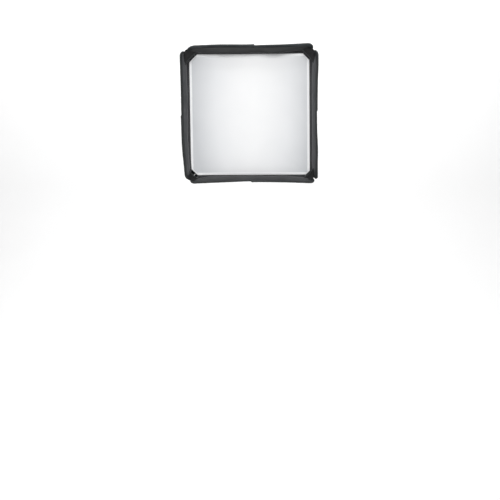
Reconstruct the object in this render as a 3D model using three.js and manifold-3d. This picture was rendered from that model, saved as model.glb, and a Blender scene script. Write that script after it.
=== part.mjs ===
// Collapsible studio softbox on a speed ring, angle bracket and tilting stand head.
//
// Millimetres. The origin is the centre of the stand socket's mouth, +Z is up, +X is to the
// right seen from the front, and the diffuser faces -Y. The optical axis runs along Y at
// height AXIS_Z. The box is four sprung cloth walls: each has a steel hoop held in a hem
// round a trapezoid of black cloth with a silver lining.

import * as THREE from 'three';
import { ConvexGeometry } from 'three/addons/geometries/ConvexGeometry.js';
import { mergeVertices } from 'three/addons/utils/BufferGeometryUtils.js';
import Module from 'manifold-3d';

// --- Driving dimensions ------------------------------------------------------------------

const GAP = 0.3; // left between pieces that touch on the real object
const AXIS_Z = 240; // optical axis over the socket's mouth

// The box: a square pyramid stump between a rear and a front square.
const REAR_Y = -32;
const FRONT_Y = -322;
const REAR_HALF = 85;
const FRONT_HALF = 270;
const DEPTH = REAR_Y - FRONT_Y;
const FLARE = Math.atan2(FRONT_HALF - REAR_HALF, DEPTH); // lean of a wall off the axis
const SLANT = Math.hypot(FRONT_HALF - REAR_HALF, DEPTH); // rear edge to front edge

// One wall, in its own plane: inset from the seam line, rounded corners, layers.
const SEAM_INSET = 3.8;
const FRONT_CORNER = 25;
const REAR_CORNER = 16;
const HEM_WIDTH = 12;
const HEM_THICK = 8;
const HEM_SKIN = 1.4;
const HOOP_INSET = 1.8;
const HOOP_WIRE = 3;
const CLOTH_INSET = 5.2;
const CLOTH_THICK = 2;
const CLOTH_MID = 0.2; // half the gap between outer cloth and lining

// The front: hook-and-loop band, diffuser and the webs across the corners.
const DIFFUSER_Y = -289.5;
const WEB_Y = -305;
const WEB_THICK = 1.6;
const WEB_LEG = 61;
const WEB_BACK_LEG = 25.5;
const TAPE_WIDTH = 18;
const TAPE_THICK = 1.5;
const TAPE_HALF = 215;
const HOOK_THICK = 1.4;
const HOOK_BAND = 13;
const DIFFUSER_HEM = 13;
const DIFFUSER_HALF = 240.6;

// The inner baffle.
const BAFFLE_Y = -174;
const BAFFLE_HALF = 140;
const BAFFLE_HEM = 10;
const BAFFLE_CORNER = 12;
const STRAP_WIDTH = 12;
const STRAP_REACH = 163; // half-width of the square that the straps' far ends lie on

// The rings behind the box, all round the optical axis.
const LAMP_R = 51.5; // clear radius for the lamp
const HUB_R = 56;
const RING_BORE_R = 56.15;
const RING_R = 78;
const FLANGE_R = 75;
const RETAINER_R = 63;
const CLAMP_R = 72;
const RING_BACK_Y = -14;
const RING_FRONT_Y = -22;
const FLANGE_THICK = 4;
const PANEL_THICK = 2.4;
const PANEL_HALF = 87;

// The angle bracket.
const RAIL_HALF = 18;
const RAIL_Z = 100;
const RAIL_THICK = 3;
const RAIL_BACK_Y = 120;
const LEG_Y = -13.6;
const SLOT_HALF = 3.2;
const SHOE_Y = 70;
const SHOE_FOOT = 18.7; // width that the sliding foot takes
const SCREW_R = 3;
const TAP_R = 3.1;

// The stand head.
const TILT_Z = 66;
const BODY_R = 17;
const SOCKET_R = 8.2;
const SOCKET_DEEP = 38;
const BOLT_R = 4;
const BOLT_BORE_R = 4.08;
const EAR_IN = 7;
const EAR_OUT = 15;
const EAR_R = 12;
const KNOB_Z = 20;
const LEVER_REACH = 55;
const LEVER_REST = -0.6; // radians below straight back

// --- Materials ---------------------------------------------------------------------------

function finish(color, roughness, metalness = 0) {
  return new THREE.MeshStandardMaterial({ color, roughness, metalness });
}

const blackCloth = finish(0x26282b, 0.85);
const hemCloth = finish(0x34373b, 0.75);
const silverCloth = finish(0xa9adb2, 0.45, 0.3);
const tape = finish(0x151517, 0.95);
const whiteCloth = finish(0xf2f3f4, 0.9);
const springSteel = finish(0x8f9498, 0.35, 1);
const blackPaint = finish(0x1d1e20, 0.5, 0.3);
const blackAlloy = finish(0x2a2b2e, 0.4, 0.8);
const zinc = finish(0xb5b8bb, 0.35, 1);
const blackPlastic = finish(0x1a1b1d, 0.6);

// --- Solids ------------------------------------------------------------------------------

const wasm = await Module();
wasm.setup();

const X = new THREE.Vector3(1, 0, 0);
const Y = new THREE.Vector3(0, 1, 0);
const Z = new THREE.Vector3(0, 0, 1);

// A closed three.js geometry as a solid that can be joined and cut.
function solid(geometry) {
  const bare = new THREE.BufferGeometry();
  const loose = geometry.index ? geometry.toNonIndexed() : geometry;
  bare.setAttribute('position', loose.getAttribute('position'));
  const merged = mergeVertices(bare, 1e-4);
  return new wasm.Manifold(new wasm.Mesh({
    numProp: 3,
    vertProperties: new Float32Array(merged.getAttribute('position').array),
    triVerts: new Uint32Array(merged.index.array),
  }));
}

// The same solid moved by a three.js matrix.
function moved(body, matrix) {
  return body.transform(matrix.elements);
}

function point(a, b) {
  return new THREE.Vector2(a, b);
}

// Turns a shape drawn in the XY plane and extruded along Z so that it is extruded along
// the named axis: its two drawing directions become the other two axes, in X, Y, Z order.
const FACING = {
  x: new THREE.Matrix4().makeBasis(Y, Z, X),
  y: new THREE.Matrix4().makeBasis(X, Z, Y.clone().negate()),
  z: new THREE.Matrix4(),
};

// An outline extruded between two places on an axis.
function prism(axis, outline, from, to) {
  const geometry = new THREE.ExtrudeGeometry(new THREE.Shape(outline), {
    depth: to - from,
    bevelEnabled: false,
  });
  geometry.translate(0, 0, axis === 'y' ? -to : from);
  geometry.applyMatrix4(FACING[axis]);
  return solid(geometry);
}

function box(low, high) {
  const size = high.map((value, i) => value - low[i]);
  const geometry = new THREE.BoxGeometry(...size);
  geometry.translate(...low.map((value, i) => value + size[i] / 2));
  return solid(geometry);
}

// A round bar along an axis; a and b place its centre on the other two axes.
function rod(axis, radius, from, to, a = 0, b = 0, sides = 32) {
  return prism(axis, circle(radius, a, b, sides), from, to);
}

function tube(axis, outer, inner, from, to, a = 0, b = 0, sides = 32) {
  return rod(axis, outer, from, to, a, b, sides)
    .subtract(rod(axis, inner, from - 1, to + 1, a, b, sides));
}

// --- Outlines ----------------------------------------------------------------------------

function circle(radius, a, b, sides) {
  const outline = [];
  for (let i = 0; i < sides; i += 1) {
    const angle = (2 * Math.PI * i) / sides;
    outline.push(point(a + radius * Math.cos(angle), b + radius * Math.sin(angle)));
  }
  return outline;
}

// The grip outline of a thumb knob: a circle with shallow flutes.
function fluted(radius, flutes, a = 0, b = 0) {
  const outline = [];
  const steps = flutes * 4;
  for (let i = 0; i < steps; i += 1) {
    const angle = (2 * Math.PI * i) / steps;
    const reach = radius * (0.94 + 0.06 * Math.cos(flutes * angle));
    outline.push(point(a + reach * Math.cos(angle), b + reach * Math.sin(angle)));
  }
  return outline;
}

// A counter-clockwise convex polygon with its corners rounded by arcs.
function rounded(corners, radii, steps) {
  const outline = [];
  corners.forEach((corner, i) => {
    const radius = radii[i];
    if (radius === 0) {
      outline.push(corner);
      return;
    }
    const before = corners[(i + corners.length - 1) % corners.length];
    const after = corners[(i + 1) % corners.length];
    const back = before.clone().sub(corner).normalize();
    const ahead = after.clone().sub(corner).normalize();
    const half = Math.acos(back.dot(ahead)) / 2;
    const inward = back.clone().add(ahead).normalize();
    const centre = inward.multiplyScalar(radius / Math.sin(half)).add(corner);
    const start = back.multiplyScalar(radius / Math.tan(half)).add(corner);
    for (let step = 0; step <= steps; step += 1) {
      const turn = ((Math.PI - 2 * half) * step) / steps;
      outline.push(start.clone().rotateAround(centre, turn));
    }
  });
  return outline;
}

function rectangle(low, high, radii = [0, 0, 0, 0], steps = 5) {
  const corners = [
    point(low[0], low[1]), point(high[0], low[1]),
    point(high[0], high[1]), point(low[0], high[1]),
  ];
  return rounded(corners, radii, steps);
}

// A slot with round ends, along the second drawing direction.
function slot(half, from, to) {
  const end = half * 0.98;
  return rectangle([-half, from], [half, to], [end, end, end, end], 6);
}

// A square round the optical axis with rounded corners.
function square(half, corner) {
  const radii = [corner, corner, corner, corner];
  return rectangle([-half, AXIS_Z - half], [half, AXIS_Z + half], radii, 4);
}

// A square round the optical axis, its corners cut where |x| + |z| reaches cut.
function octagon(half, cut) {
  const short = cut - half;
  const turns = [[half, short], [short, half]];
  const outline = [];
  for (let quarter = 0; quarter < 4; quarter += 1) {
    for (const [a, b] of turns) {
      const corner = point(a, b).rotateAround(point(0, 0), (quarter * Math.PI) / 2);
      outline.push(corner.add(point(0, AXIS_Z)));
    }
  }
  return outline;
}

// --- The walls of the box ----------------------------------------------------------------

// Half-width of a wall's plane at a place along Y, and the same for a face set off it.
function halfWidth(y, offset = 0) {
  return REAR_HALF + (REAR_Y - y) * Math.tan(FLARE) + offset / Math.cos(FLARE);
}

// A quarter-turn count moves a piece of the top wall round to the right, bottom and left.
function quarterTurn(count) {
  const turn = new THREE.Matrix4().makeRotationY((count * Math.PI) / 2);
  return new THREE.Matrix4().makeTranslation(0, 0, AXIS_Z).multiply(turn);
}

// The wall's own frame: drawn with its width along -X and its slant to the front, its
// thickness pointing out of the box.
function wallFrame(count) {
  const slant = new THREE.Vector3(0, -Math.cos(FLARE), Math.sin(FLARE));
  const out = new THREE.Vector3(0, Math.sin(FLARE), Math.cos(FLARE));
  const frame = new THREE.Matrix4().makeBasis(X.clone().negate(), slant, out);
  frame.setPosition(0, REAR_Y, REAR_HALF);
  return quarterTurn(count).multiply(frame);
}

// The wall's outline, moved in by inset all round.
function wallOutline(inset) {
  const spread = Math.atan2(FRONT_HALF - REAR_HALF, SLANT);
  const halfAt = (along) => (
    REAR_HALF + along * Math.tan(spread) - (SEAM_INSET + inset) / Math.cos(spread)
  );
  const rear = halfAt(inset);
  const front = halfAt(SLANT - inset);
  const corners = [
    point(-rear, inset), point(rear, inset),
    point(front, SLANT - inset), point(-front, SLANT - inset),
  ];
  const rearRadius = REAR_CORNER - inset;
  const frontRadius = FRONT_CORNER - inset;
  return rounded(corners, [rearRadius, rearRadius, frontRadius, frontRadius], 5);
}

function wallSlab(inset, low, high) {
  return prism('z', wallOutline(inset), low, high);
}

function wallHem() {
  const half = HEM_THICK / 2;
  const channel = wallSlab(HEM_SKIN, HEM_SKIN - half, half - HEM_SKIN);
  const middle = wallSlab(HEM_WIDTH, -half - 1, half + 1);
  return wallSlab(0, -half, half).subtract(channel).subtract(middle);
}

function wallHoop() {
  const half = HOOP_WIRE / 2;
  const inside = wallSlab(HOOP_INSET + HOOP_WIRE, -half - 1, half + 1);
  return wallSlab(HOOP_INSET, -half, half).subtract(inside);
}

function wallPanel() {
  return wallSlab(CLOTH_INSET, CLOTH_MID, CLOTH_MID + CLOTH_THICK);
}

function wallLining() {
  return wallSlab(CLOTH_INSET, -CLOTH_MID - CLOTH_THICK, -CLOTH_MID);
}

// The loop tape on the inside of a wall, level with the diffuser.
function loopTape() {
  const along = (REAR_Y - DIFFUSER_Y) / Math.cos(FLARE);
  const top = -CLOTH_MID - CLOTH_THICK - GAP - 0.1;
  const outline = rectangle(
    [-TAPE_HALF, along - TAPE_WIDTH / 2],
    [TAPE_HALF, along + TAPE_WIDTH / 2],
  );
  return prism('z', outline, top - TAPE_THICK, top);
}

// The cloth strip that closes the outer groove between two walls, for the corner between
// the top and right walls. Its section is drawn across the seam and out of the box.
function cornerSeam() {
  const side = FRONT_HALF - REAR_HALF;
  const along = new THREE.Vector3(side, -DEPTH, side).normalize();
  const across = new THREE.Vector3(1, 0, -1).normalize();
  const out = along.clone().cross(across);
  const frame = new THREE.Matrix4().makeBasis(across, out, along);
  frame.setPosition(REAR_HALF, REAR_Y, REAR_HALF);
  const section = [point(-2.1, -3), point(2.1, -3), point(4.7, 0.5), point(-4.7, 0.5)];
  const length = Math.hypot(side, DEPTH, side);
  return moved(prism('z', section, 24, length - 46), frame);
}

// The black web across the corner between the top and right walls, in front of the
// diffuser's cut corner.
function cornerWeb() {
  const face = webFace();
  const outline = [
    point(face - WEB_LEG, face), point(face, face - WEB_LEG),
    point(face, face - WEB_BACK_LEG), point(face - WEB_BACK_LEG, face),
  ];
  return prism('y', outline, WEB_Y - WEB_THICK / 2, WEB_Y + WEB_THICK / 2);
}

// How far from the optical axis the webs reach along each wall.
function webFace() {
  return halfWidth(WEB_Y + WEB_THICK / 2, -CLOTH_MID - CLOTH_THICK - GAP);
}

// |x| + |z| along the free edge of the webs.
function webLine() {
  return 2 * webFace() - WEB_LEG;
}

// --- Diffuser and baffle -----------------------------------------------------------------

// The slanted hook-tape band round the diffuser's rim.
function hookTape() {
  const inner = -CLOTH_MID - CLOTH_THICK - 3 * GAP - TAPE_THICK - 0.1;
  const cut = webLine() - 1.2;
  const stump = (offset, line, grow) => {
    const points = [];
    for (const y of [DIFFUSER_Y - HOOK_BAND / 2, DIFFUSER_Y + HOOK_BAND / 2]) {
      const end = y + Math.sign(y - DIFFUSER_Y) * grow;
      for (const corner of octagon(halfWidth(end, offset), line)) {
        points.push(new THREE.Vector3(corner.x, end, corner.y));
      }
    }
    return solid(new ConvexGeometry(points));
  };
  return stump(inner, cut, 0).subtract(stump(inner - HOOK_THICK, cut - 2 * HOOK_THICK, 1));
}

function diffuserOctagon(inset) {
  const cut = webLine() - 4.2;
  return octagon(DIFFUSER_HALF - inset, cut - inset * Math.SQRT2);
}

function diffuserHem() {
  const outer = prism('y', diffuserOctagon(0), DIFFUSER_Y - 1.5, DIFFUSER_Y + 1.5);
  return outer.subtract(prism('y', diffuserOctagon(DIFFUSER_HEM), DIFFUSER_Y - 3, DIFFUSER_Y + 3));
}

function diffuserCloth() {
  return prism('y', diffuserOctagon(DIFFUSER_HEM + GAP), DIFFUSER_Y - 0.6, DIFFUSER_Y + 0.6);
}

function baffleHem() {
  const outer = prism('y', square(BAFFLE_HALF, BAFFLE_CORNER), BAFFLE_Y - 1, BAFFLE_Y + 1);
  const hole = square(BAFFLE_HALF - BAFFLE_HEM, BAFFLE_CORNER / 4);
  return outer.subtract(prism('y', hole, BAFFLE_Y - 2, BAFFLE_Y + 2));
}

function baffleCloth() {
  const outline = square(BAFFLE_HALF - BAFFLE_HEM - GAP, BAFFLE_CORNER / 4);
  return prism('y', outline, BAFFLE_Y - 0.5, BAFFLE_Y + 0.5);
}

// The strap from the baffle's corner to the seam between the top and right walls.
function baffleStrap() {
  const start = BAFFLE_HALF * Math.SQRT2 - BAFFLE_CORNER * (Math.SQRT2 - 1) + GAP;
  const outline = rectangle([start, -STRAP_WIDTH / 2], [STRAP_REACH * Math.SQRT2, STRAP_WIDTH / 2]);
  const strap = prism('y', outline, BAFFLE_Y - 0.6, BAFFLE_Y + 0.6);
  return moved(strap, new THREE.Matrix4().makeRotationY(-Math.PI / 4));
}

// --- Rings -------------------------------------------------------------------------------

// A flat ring round the optical axis.
function axisRing(outer, inner, from, to) {
  return tube('y', outer, inner, from, to, 0, AXIS_Z, 64);
}

// Flange, hub and spigot that carry the box and turn in the speed ring.
function boxRing() {
  const face = RING_FRONT_Y - 0.4;
  const flange = axisRing(FLANGE_R, LAMP_R, face - FLANGE_THICK, face + 0.5);
  const hub = axisRing(HUB_R, LAMP_R, face, RING_BACK_Y + 0.6);
  const spigot = axisRing(LAMP_R + 3.5, LAMP_R, rearPanelBack() - PANEL_THICK, face);
  const spacer = axisRing(FLANGE_R + 1, HUB_R, face, face + 1);
  return flange.subtract(spacer).add(hub).add(spigot);
}

function rearPanelBack() {
  return RING_FRONT_Y - 0.4 - FLANGE_THICK - 0.4;
}

function rearPanel() {
  const back = rearPanelBack();
  const sheet = prism('y', square(PANEL_HALF, 10), back - PANEL_THICK, back);
  return sheet.subtract(rod('y', 60, back - 10, back + 10, 0, AXIS_Z, 64));
}

function clampRing() {
  const back = rearPanelBack() - PANEL_THICK - GAP;
  return axisRing(CLAMP_R, LAMP_R, back - 3.5, back);
}

function retainerRing() {
  const front = RING_BACK_Y + 0.6 + GAP;
  return axisRing(RETAINER_R, LAMP_R, front, front + 3);
}

// The fixed ring, its stem down to the bracket and the lug for the locking screw.
function speedRing() {
  const lug = box([70, RING_FRONT_Y, -8], [88, RING_BACK_Y, 8]);
  const tap = rod('x', TAP_R, 50, 95, (RING_FRONT_Y + RING_BACK_Y) / 2, 0);
  const stem = prism('y', rectangle(
    [-RAIL_HALF, AXIS_Z - 124], [RAIL_HALF, AXIS_Z - 70], [6, 6, 0, 0],
  ), RING_FRONT_Y, RING_BACK_Y);
  let ring = rod('y', RING_R, RING_FRONT_Y, RING_BACK_Y, 0, AXIS_Z, 64)
    .add(stem)
    .add(moved(lug, lockFrame()))
    .subtract(rod('y', RING_BORE_R, RING_FRONT_Y - 1, RING_BACK_Y + 1, 0, AXIS_Z, 64))
    .subtract(moved(tap, lockFrame()));
  for (const drop of THUMB_DROPS) {
    ring = ring.subtract(rod('y', TAP_R, RING_FRONT_Y - 1, RING_BACK_Y + 1, 0, AXIS_Z - drop));
  }
  return ring;
}

// Where the two thumbscrews sit below the optical axis.
const THUMB_DROPS = [96, 114];

// The locking screw points at the optical axis from the lower right.
function lockFrame() {
  const turn = new THREE.Matrix4().makeRotationY(Math.PI / 4);
  return new THREE.Matrix4().makeTranslation(0, 0, AXIS_Z).multiply(turn);
}

const LOCK_Y = (RING_FRONT_Y + RING_BACK_Y) / 2;

function lockStud() {
  return moved(rod('x', SCREW_R, HUB_R + 1, 95, LOCK_Y, 0), lockFrame());
}

function lockKnob() {
  const knob = prism('x', fluted(7, 10, LOCK_Y, 0), 88.4, 100.4)
    .subtract(rod('x', TAP_R, 87, 95 + GAP, LOCK_Y, 0));
  return moved(knob, lockFrame());
}

// The face of a thumbscrew's knob, just behind the bracket's leg.
const THUMB_Y = LEG_Y + RAIL_THICK + 0.4;

function thumbStud(drop) {
  return rod('y', SCREW_R, RING_FRONT_Y + 1, THUMB_Y + 5.5, 0, AXIS_Z - drop);
}

function thumbKnob(drop) {
  return prism('y', fluted(8, 12, 0, AXIS_Z - drop), THUMB_Y, THUMB_Y + 8)
    .subtract(rod('y', TAP_R, THUMB_Y - 1, THUMB_Y + 5.5 + GAP, 0, AXIS_Z - drop));
}

// --- Bracket -----------------------------------------------------------------------------

const MOUNT_SCREW_YS = [-3, 9];

function angleBracket() {
  const rail = prism('z', rectangle(
    [-RAIL_HALF, LEG_Y], [RAIL_HALF, RAIL_BACK_Y], [0, 0, 10, 10],
  ), RAIL_Z, RAIL_Z + RAIL_THICK);
  const leg = prism('y', rectangle(
    [-RAIL_HALF, RAIL_Z], [RAIL_HALF, AXIS_Z - 76], [0, 0, 8, 8],
  ), LEG_Y, LEG_Y + RAIL_THICK);
  const legSlot = prism('y', slot(SLOT_HALF, AXIS_Z - 127, AXIS_Z - 83), LEG_Y - 1, LEG_Y + 4);
  const railSlot = prism('z', slot(SLOT_HALF, 24, 112), RAIL_Z - 1, RAIL_Z + 4);
  let bracket = rail.add(leg).subtract(legSlot).subtract(railSlot);
  for (const y of MOUNT_SCREW_YS) {
    bracket = bracket.subtract(rod('z', 3.4, RAIL_Z - 1, RAIL_Z + 4, 0, y));
  }
  return bracket;
}

// Low-headed screw that holds the rail down on the tilt block.
function mountScrew(y) {
  const seat = RAIL_Z + RAIL_THICK + GAP;
  const head = rod('z', 5, seat, seat + 3, 0, y);
  const driver = rod('z', 2, seat + 1.4, seat + 4, 0, y, 6);
  return head.add(rod('z', SCREW_R, RAIL_Z - 9, seat + 0.5, 0, y)).subtract(driver);
}

function tiltBlock() {
  const top = RAIL_Z - GAP;
  const lug = prism('x', rounded([
    point(-EAR_R, TILT_Z - EAR_R), point(EAR_R, TILT_Z - EAR_R),
    point(EAR_R, top - 10), point(-EAR_R, top - 10),
  ], [EAR_R * 0.98, EAR_R * 0.98, 0, 0], 8), -EAR_IN + 0.4, EAR_IN - 0.4);
  let block = box([-15, -15, TILT_Z + EAR_R + 0.7], [15, 15, top])
    .add(lug)
    .subtract(rod('x', BOLT_BORE_R, -20, 20, 0, TILT_Z));
  for (const y of MOUNT_SCREW_YS) {
    block = block.subtract(rod('z', TAP_R, RAIL_Z - 11, top + 1, 0, y));
  }
  return block;
}

// The cold shoe: a foot channel on top, a key in the rail's slot and a stud below it.
function coldShoe() {
  const seat = RAIL_Z + RAIL_THICK + GAP;
  const floor = seat + 5;
  const channel = SHOE_FOOT / 2;
  const base = box([-14, SHOE_Y - 11, seat], [14, SHOE_Y + 11, floor + 4.4]);
  const foot = box([-channel, SHOE_Y - 9, floor], [channel, SHOE_Y + 12, floor + 2.2]);
  const neck = box([-6.3, SHOE_Y - 12, floor + 0.1], [6.3, SHOE_Y + 12, floor + 6]);
  const key = box([-2.9, SHOE_Y - 7, RAIL_Z], [2.9, SHOE_Y + 7, seat + 1]);
  const stud = rod('z', SCREW_R, RAIL_Z - 10, seat + 1, 0, SHOE_Y);
  return base.subtract(foot).subtract(neck).add(key).add(stud);
}

function shoeWheel() {
  const top = RAIL_Z - 0.4;
  return prism('z', fluted(11, 16, 0, SHOE_Y), top - 7, top)
    .subtract(rod('z', TAP_R, top - 8, top + 1, 0, SHOE_Y));
}

// --- Stand head --------------------------------------------------------------------------

function socketBody() {
  const shell = rod('z', BODY_R, 0, 50, 0, 0, 48)
    .add(box([-EAR_OUT, -EAR_R, 36], [EAR_OUT, EAR_R, 50]))
    .add(rod('x', 8, -22, -10, 0, KNOB_Z));
  const ear = rounded([
    point(-EAR_R, 44), point(EAR_R, 44),
    point(EAR_R, TILT_Z + EAR_R), point(-EAR_R, TILT_Z + EAR_R),
  ], [0, 0, EAR_R * 0.98, EAR_R * 0.98], 8);
  return shell
    .add(prism('x', ear, -EAR_OUT, -EAR_IN))
    .add(prism('x', ear, EAR_IN, EAR_OUT))
    .subtract(rod('z', SOCKET_R, -1, SOCKET_DEEP, 0, 0, 48))
    .subtract(rod('x', TAP_R, -25, -5, 0, KNOB_Z))
    .subtract(rod('x', BOLT_BORE_R, -20, 20, 0, TILT_Z));
}

function tiltBolt() {
  const head = rod('x', 6.5, -21.7, -16.7, 0, TILT_Z, 6);
  return head.add(rod('x', BOLT_R, -17.5, 26, 0, TILT_Z));
}

function tiltWasher(from) {
  return tube('x', 8, BOLT_BORE_R, from, from + 1.1, 0, TILT_Z);
}

// Clamping lever with its nut, on the +X end of the bolt.
function tiltLever() {
  const inner = EAR_OUT + 1.7;
  const arm = prism('x', rounded([
    point(0, -6), point(LEVER_REACH, -4), point(LEVER_REACH, 4), point(0, 6),
  ], [0, 3.9, 3.9, 0], 6), 21, 28);
  const turn = new THREE.Matrix4().makeRotationX(LEVER_REST);
  turn.setPosition(0, 0, TILT_Z);
  return rod('x', 9, inner, 30, 0, TILT_Z)
    .add(moved(arm, turn))
    .subtract(rod('x', BOLT_BORE_R, inner - 1, 27, 0, TILT_Z));
}

// T-handled screw that grips the stand's spigot.
function socketKnob() {
  const shank = rod('x', SCREW_R, -26, -SOCKET_R - 0.8, 0, KNOB_Z);
  const hub = rod('x', 6.5, -36, -22.4, 0, KNOB_Z);
  const bar = prism('x', rectangle(
    [-4, KNOB_Z - 17], [4, KNOB_Z + 17], [3.5, 3.5, 3.5, 3.5],
  ), -36, -28);
  return shank.add(hub).add(bar);
}

// --- Assembly ----------------------------------------------------------------------------

const group = new THREE.Group();

function place(name, body, material) {
  const mesh = body.getMesh();
  const geometry = new THREE.BufferGeometry();
  geometry.setAttribute('position', new THREE.BufferAttribute(mesh.vertProperties, 3));
  geometry.setIndex(new THREE.BufferAttribute(mesh.triVerts, 1));
  geometry.computeVertexNormals();
  const part = new THREE.Mesh(geometry, material);
  part.name = name;
  group.add(part);
}

const SIDES = ['top', 'right', 'bottom', 'left'];
const CORNERS = ['top_right', 'bottom_right', 'bottom_left', 'top_left'];

SIDES.forEach((side, count) => {
  const frame = wallFrame(count);
  place(`${side}_panel`, moved(wallPanel(), frame), blackCloth);
  place(`${side}_lining`, moved(wallLining(), frame), silverCloth);
  place(`${side}_hem`, moved(wallHem(), frame), hemCloth);
  place(`${side}_hoop`, moved(wallHoop(), frame), springSteel);
  place(`${side}_loop_tape`, moved(loopTape(), frame), tape);
});

CORNERS.forEach((corner, count) => {
  place(`${corner}_seam`, moved(cornerSeam(), quarterTurn(count)), blackCloth);
  place(`${corner}_web`, moved(cornerWeb(), quarterTurn(count)), blackCloth);
  place(`${corner}_baffle_strap`, moved(baffleStrap(), quarterTurn(count)), whiteCloth);
});

place('baffle_cloth', baffleCloth(), whiteCloth);
place('baffle_hem', baffleHem(), whiteCloth);
place('diffuser_cloth', diffuserCloth(), whiteCloth);
place('diffuser_hem', diffuserHem(), whiteCloth);
place('diffuser_hook_tape', hookTape(), tape);

place('box_ring', boxRing(), blackPlastic);
place('rear_panel', rearPanel(), blackCloth);
place('clamp_ring', clampRing(), blackPlastic);
place('retainer_ring', retainerRing(), blackPlastic);

place('speed_ring', speedRing(), blackAlloy);
place('ring_lock_knob', lockKnob(), blackPlastic);
place('ring_lock_stud', lockStud(), zinc);
place('upper_thumbscrew_knob', thumbKnob(THUMB_DROPS[0]), blackPlastic);
place('upper_thumbscrew_stud', thumbStud(THUMB_DROPS[0]), zinc);
place('lower_thumbscrew_knob', thumbKnob(THUMB_DROPS[1]), blackPlastic);
place('lower_thumbscrew_stud', thumbStud(THUMB_DROPS[1]), zinc);

place('angle_bracket', angleBracket(), blackPaint);
place('front_mount_screw', mountScrew(MOUNT_SCREW_YS[0]), zinc);
place('rear_mount_screw', mountScrew(MOUNT_SCREW_YS[1]), zinc);
place('tilt_block', tiltBlock(), blackPlastic);
place('cold_shoe', coldShoe(), blackPlastic);
place('shoe_wheel', shoeWheel(), zinc);

place('socket_body', socketBody(), blackPlastic);
place('socket_knob', socketKnob(), blackPlastic);
place('tilt_bolt', tiltBolt(), zinc);
place('left_washer', tiltWasher(-EAR_OUT - 1.4), zinc);
place('right_washer', tiltWasher(EAR_OUT + 0.3), zinc);
place('tilt_lever', tiltLever(), blackPlastic);

export default group;
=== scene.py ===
# A collapsible studio softbox: the cloth, hems, webs, diffuser and finishes that go over the
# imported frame. Metres, +Z up, the diffuser faces -Y.

import math
import bmesh
import bpy
import numpy as np
from mathutils import Euler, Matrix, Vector


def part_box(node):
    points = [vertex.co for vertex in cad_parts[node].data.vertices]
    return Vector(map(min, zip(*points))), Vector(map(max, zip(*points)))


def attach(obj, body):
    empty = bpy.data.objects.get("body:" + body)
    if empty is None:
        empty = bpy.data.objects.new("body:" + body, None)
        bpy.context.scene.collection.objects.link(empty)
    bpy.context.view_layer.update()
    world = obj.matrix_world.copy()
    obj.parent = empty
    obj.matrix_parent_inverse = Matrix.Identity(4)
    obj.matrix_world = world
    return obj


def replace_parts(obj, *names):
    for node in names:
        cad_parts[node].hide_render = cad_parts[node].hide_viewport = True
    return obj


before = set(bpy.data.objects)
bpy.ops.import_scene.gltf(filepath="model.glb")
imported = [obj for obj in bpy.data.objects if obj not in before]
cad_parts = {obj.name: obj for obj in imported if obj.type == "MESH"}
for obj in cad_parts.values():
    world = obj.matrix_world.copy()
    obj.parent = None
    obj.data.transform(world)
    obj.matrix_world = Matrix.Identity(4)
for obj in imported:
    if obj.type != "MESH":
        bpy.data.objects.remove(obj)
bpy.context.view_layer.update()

# --- Driving dimensions, from the frame ---

MM = 0.001
panel_low, panel_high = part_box("rear_panel")
diffuser_low, diffuser_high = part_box("diffuser_hem")
baffle_low, baffle_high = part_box("baffle_hem")
web_low, web_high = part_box("top_right_web")

AXIS_Z = (diffuser_low.z + diffuser_high.z) / 2
REAR_Y = -32 * MM
FRONT_Y = -322 * MM
REAR_HALF = 85 * MM
FRONT_HALF = 270 * MM
DEPTH = REAR_Y - FRONT_Y
FLARE = math.atan2(FRONT_HALF - REAR_HALF, DEPTH)
SLANT = math.hypot(FRONT_HALF - REAR_HALF, DEPTH)
SPREAD = math.atan2(FRONT_HALF - REAR_HALF, SLANT)
SEAM_INSET = 3.8 * MM
REAR_CORNER = 16 * MM
STITCH_INSET = 16.1 * MM
CLOTH_INSET = 10.5 * MM
CLOTH_LIFT = 1.3 * MM
DIFFUSER_Y = (diffuser_low.y + diffuser_high.y) / 2
DIFFUSER_HALF = diffuser_high.x
BAFFLE_Y = (baffle_low.y + baffle_high.y) / 2
BAFFLE_HALF = baffle_high.x
WEB_Y = (web_low.y + web_high.y) / 2
TAPE_WIDTH = 18 * MM
TAPE_AT = (REAR_Y - DIFFUSER_Y) / math.cos(FLARE)
HOOP_INSET = 3.6 * MM
HOOP_RADIUS = 1.5 * MM
RETAINER_RADII = (51.5 * MM, 63 * MM)

SIDES = ["top", "right", "bottom", "left"]
TOP, RIGHT, BOTTOM, LEFT = range(4)
CORNERS = ["top_right", "bottom_right", "bottom_left", "top_left"]


def in_metres(table):
    """A table of lengths given in millimetres, in metres."""
    return {name: np.array(lengths) * MM for name, lengths in table.items()}


# How each front corner of a wall has sprung: its radius, how far it is drawn in along the front
# edge and how far it is bent into the box. Seen from the front, each wall's first end lies
# anticlockwise.
WALL_ENDS = in_metres({
    "top": ((38, -12, 6), (24, -3, -4)), "right": ((25, -2, 0), (11, 4, 1)),
    "bottom": ((20, -8, 0), (20, 11, 0)), "left": ((22, -2, 12), (22, 1, -1)),
})
# How far the middle of each front edge is bowed in, and where along it the hem's ends overlap.
EDGE_BOW = in_metres({"top": 2, "right": 4, "bottom": 10, "left": 0})
HEM_LAP = in_metres({"top": -20, "right": 14, "bottom": 4, "left": 0})
# How far the slack cloth inside each lip bellies in.
LIP_BELLY = in_metres({"top": 15.5, "right": 1.5, "bottom": 11, "left": 3})
# How far the diffuser pulls the tape in at each end of a wall, first end first.
TAPE_PULL = in_metres({"top": (3, 3), "right": (5, 1), "bottom": (5, 6), "left": (3, 4)})
# How light each side's lip and hem are, as factors on one cloth: painted light and shade. Each side is
# a lit or shaded copy, and the top and bottom lips are darker and their hems lighter than the sides',
# as light from above leaves them.
PAINTED_SIDE_LIGHT = {"top": (0.28, 2.0), "right": (1.0, 1.0), "bottom": (0.65, 1.4), "left": (1.0, 1.0)}

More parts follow.
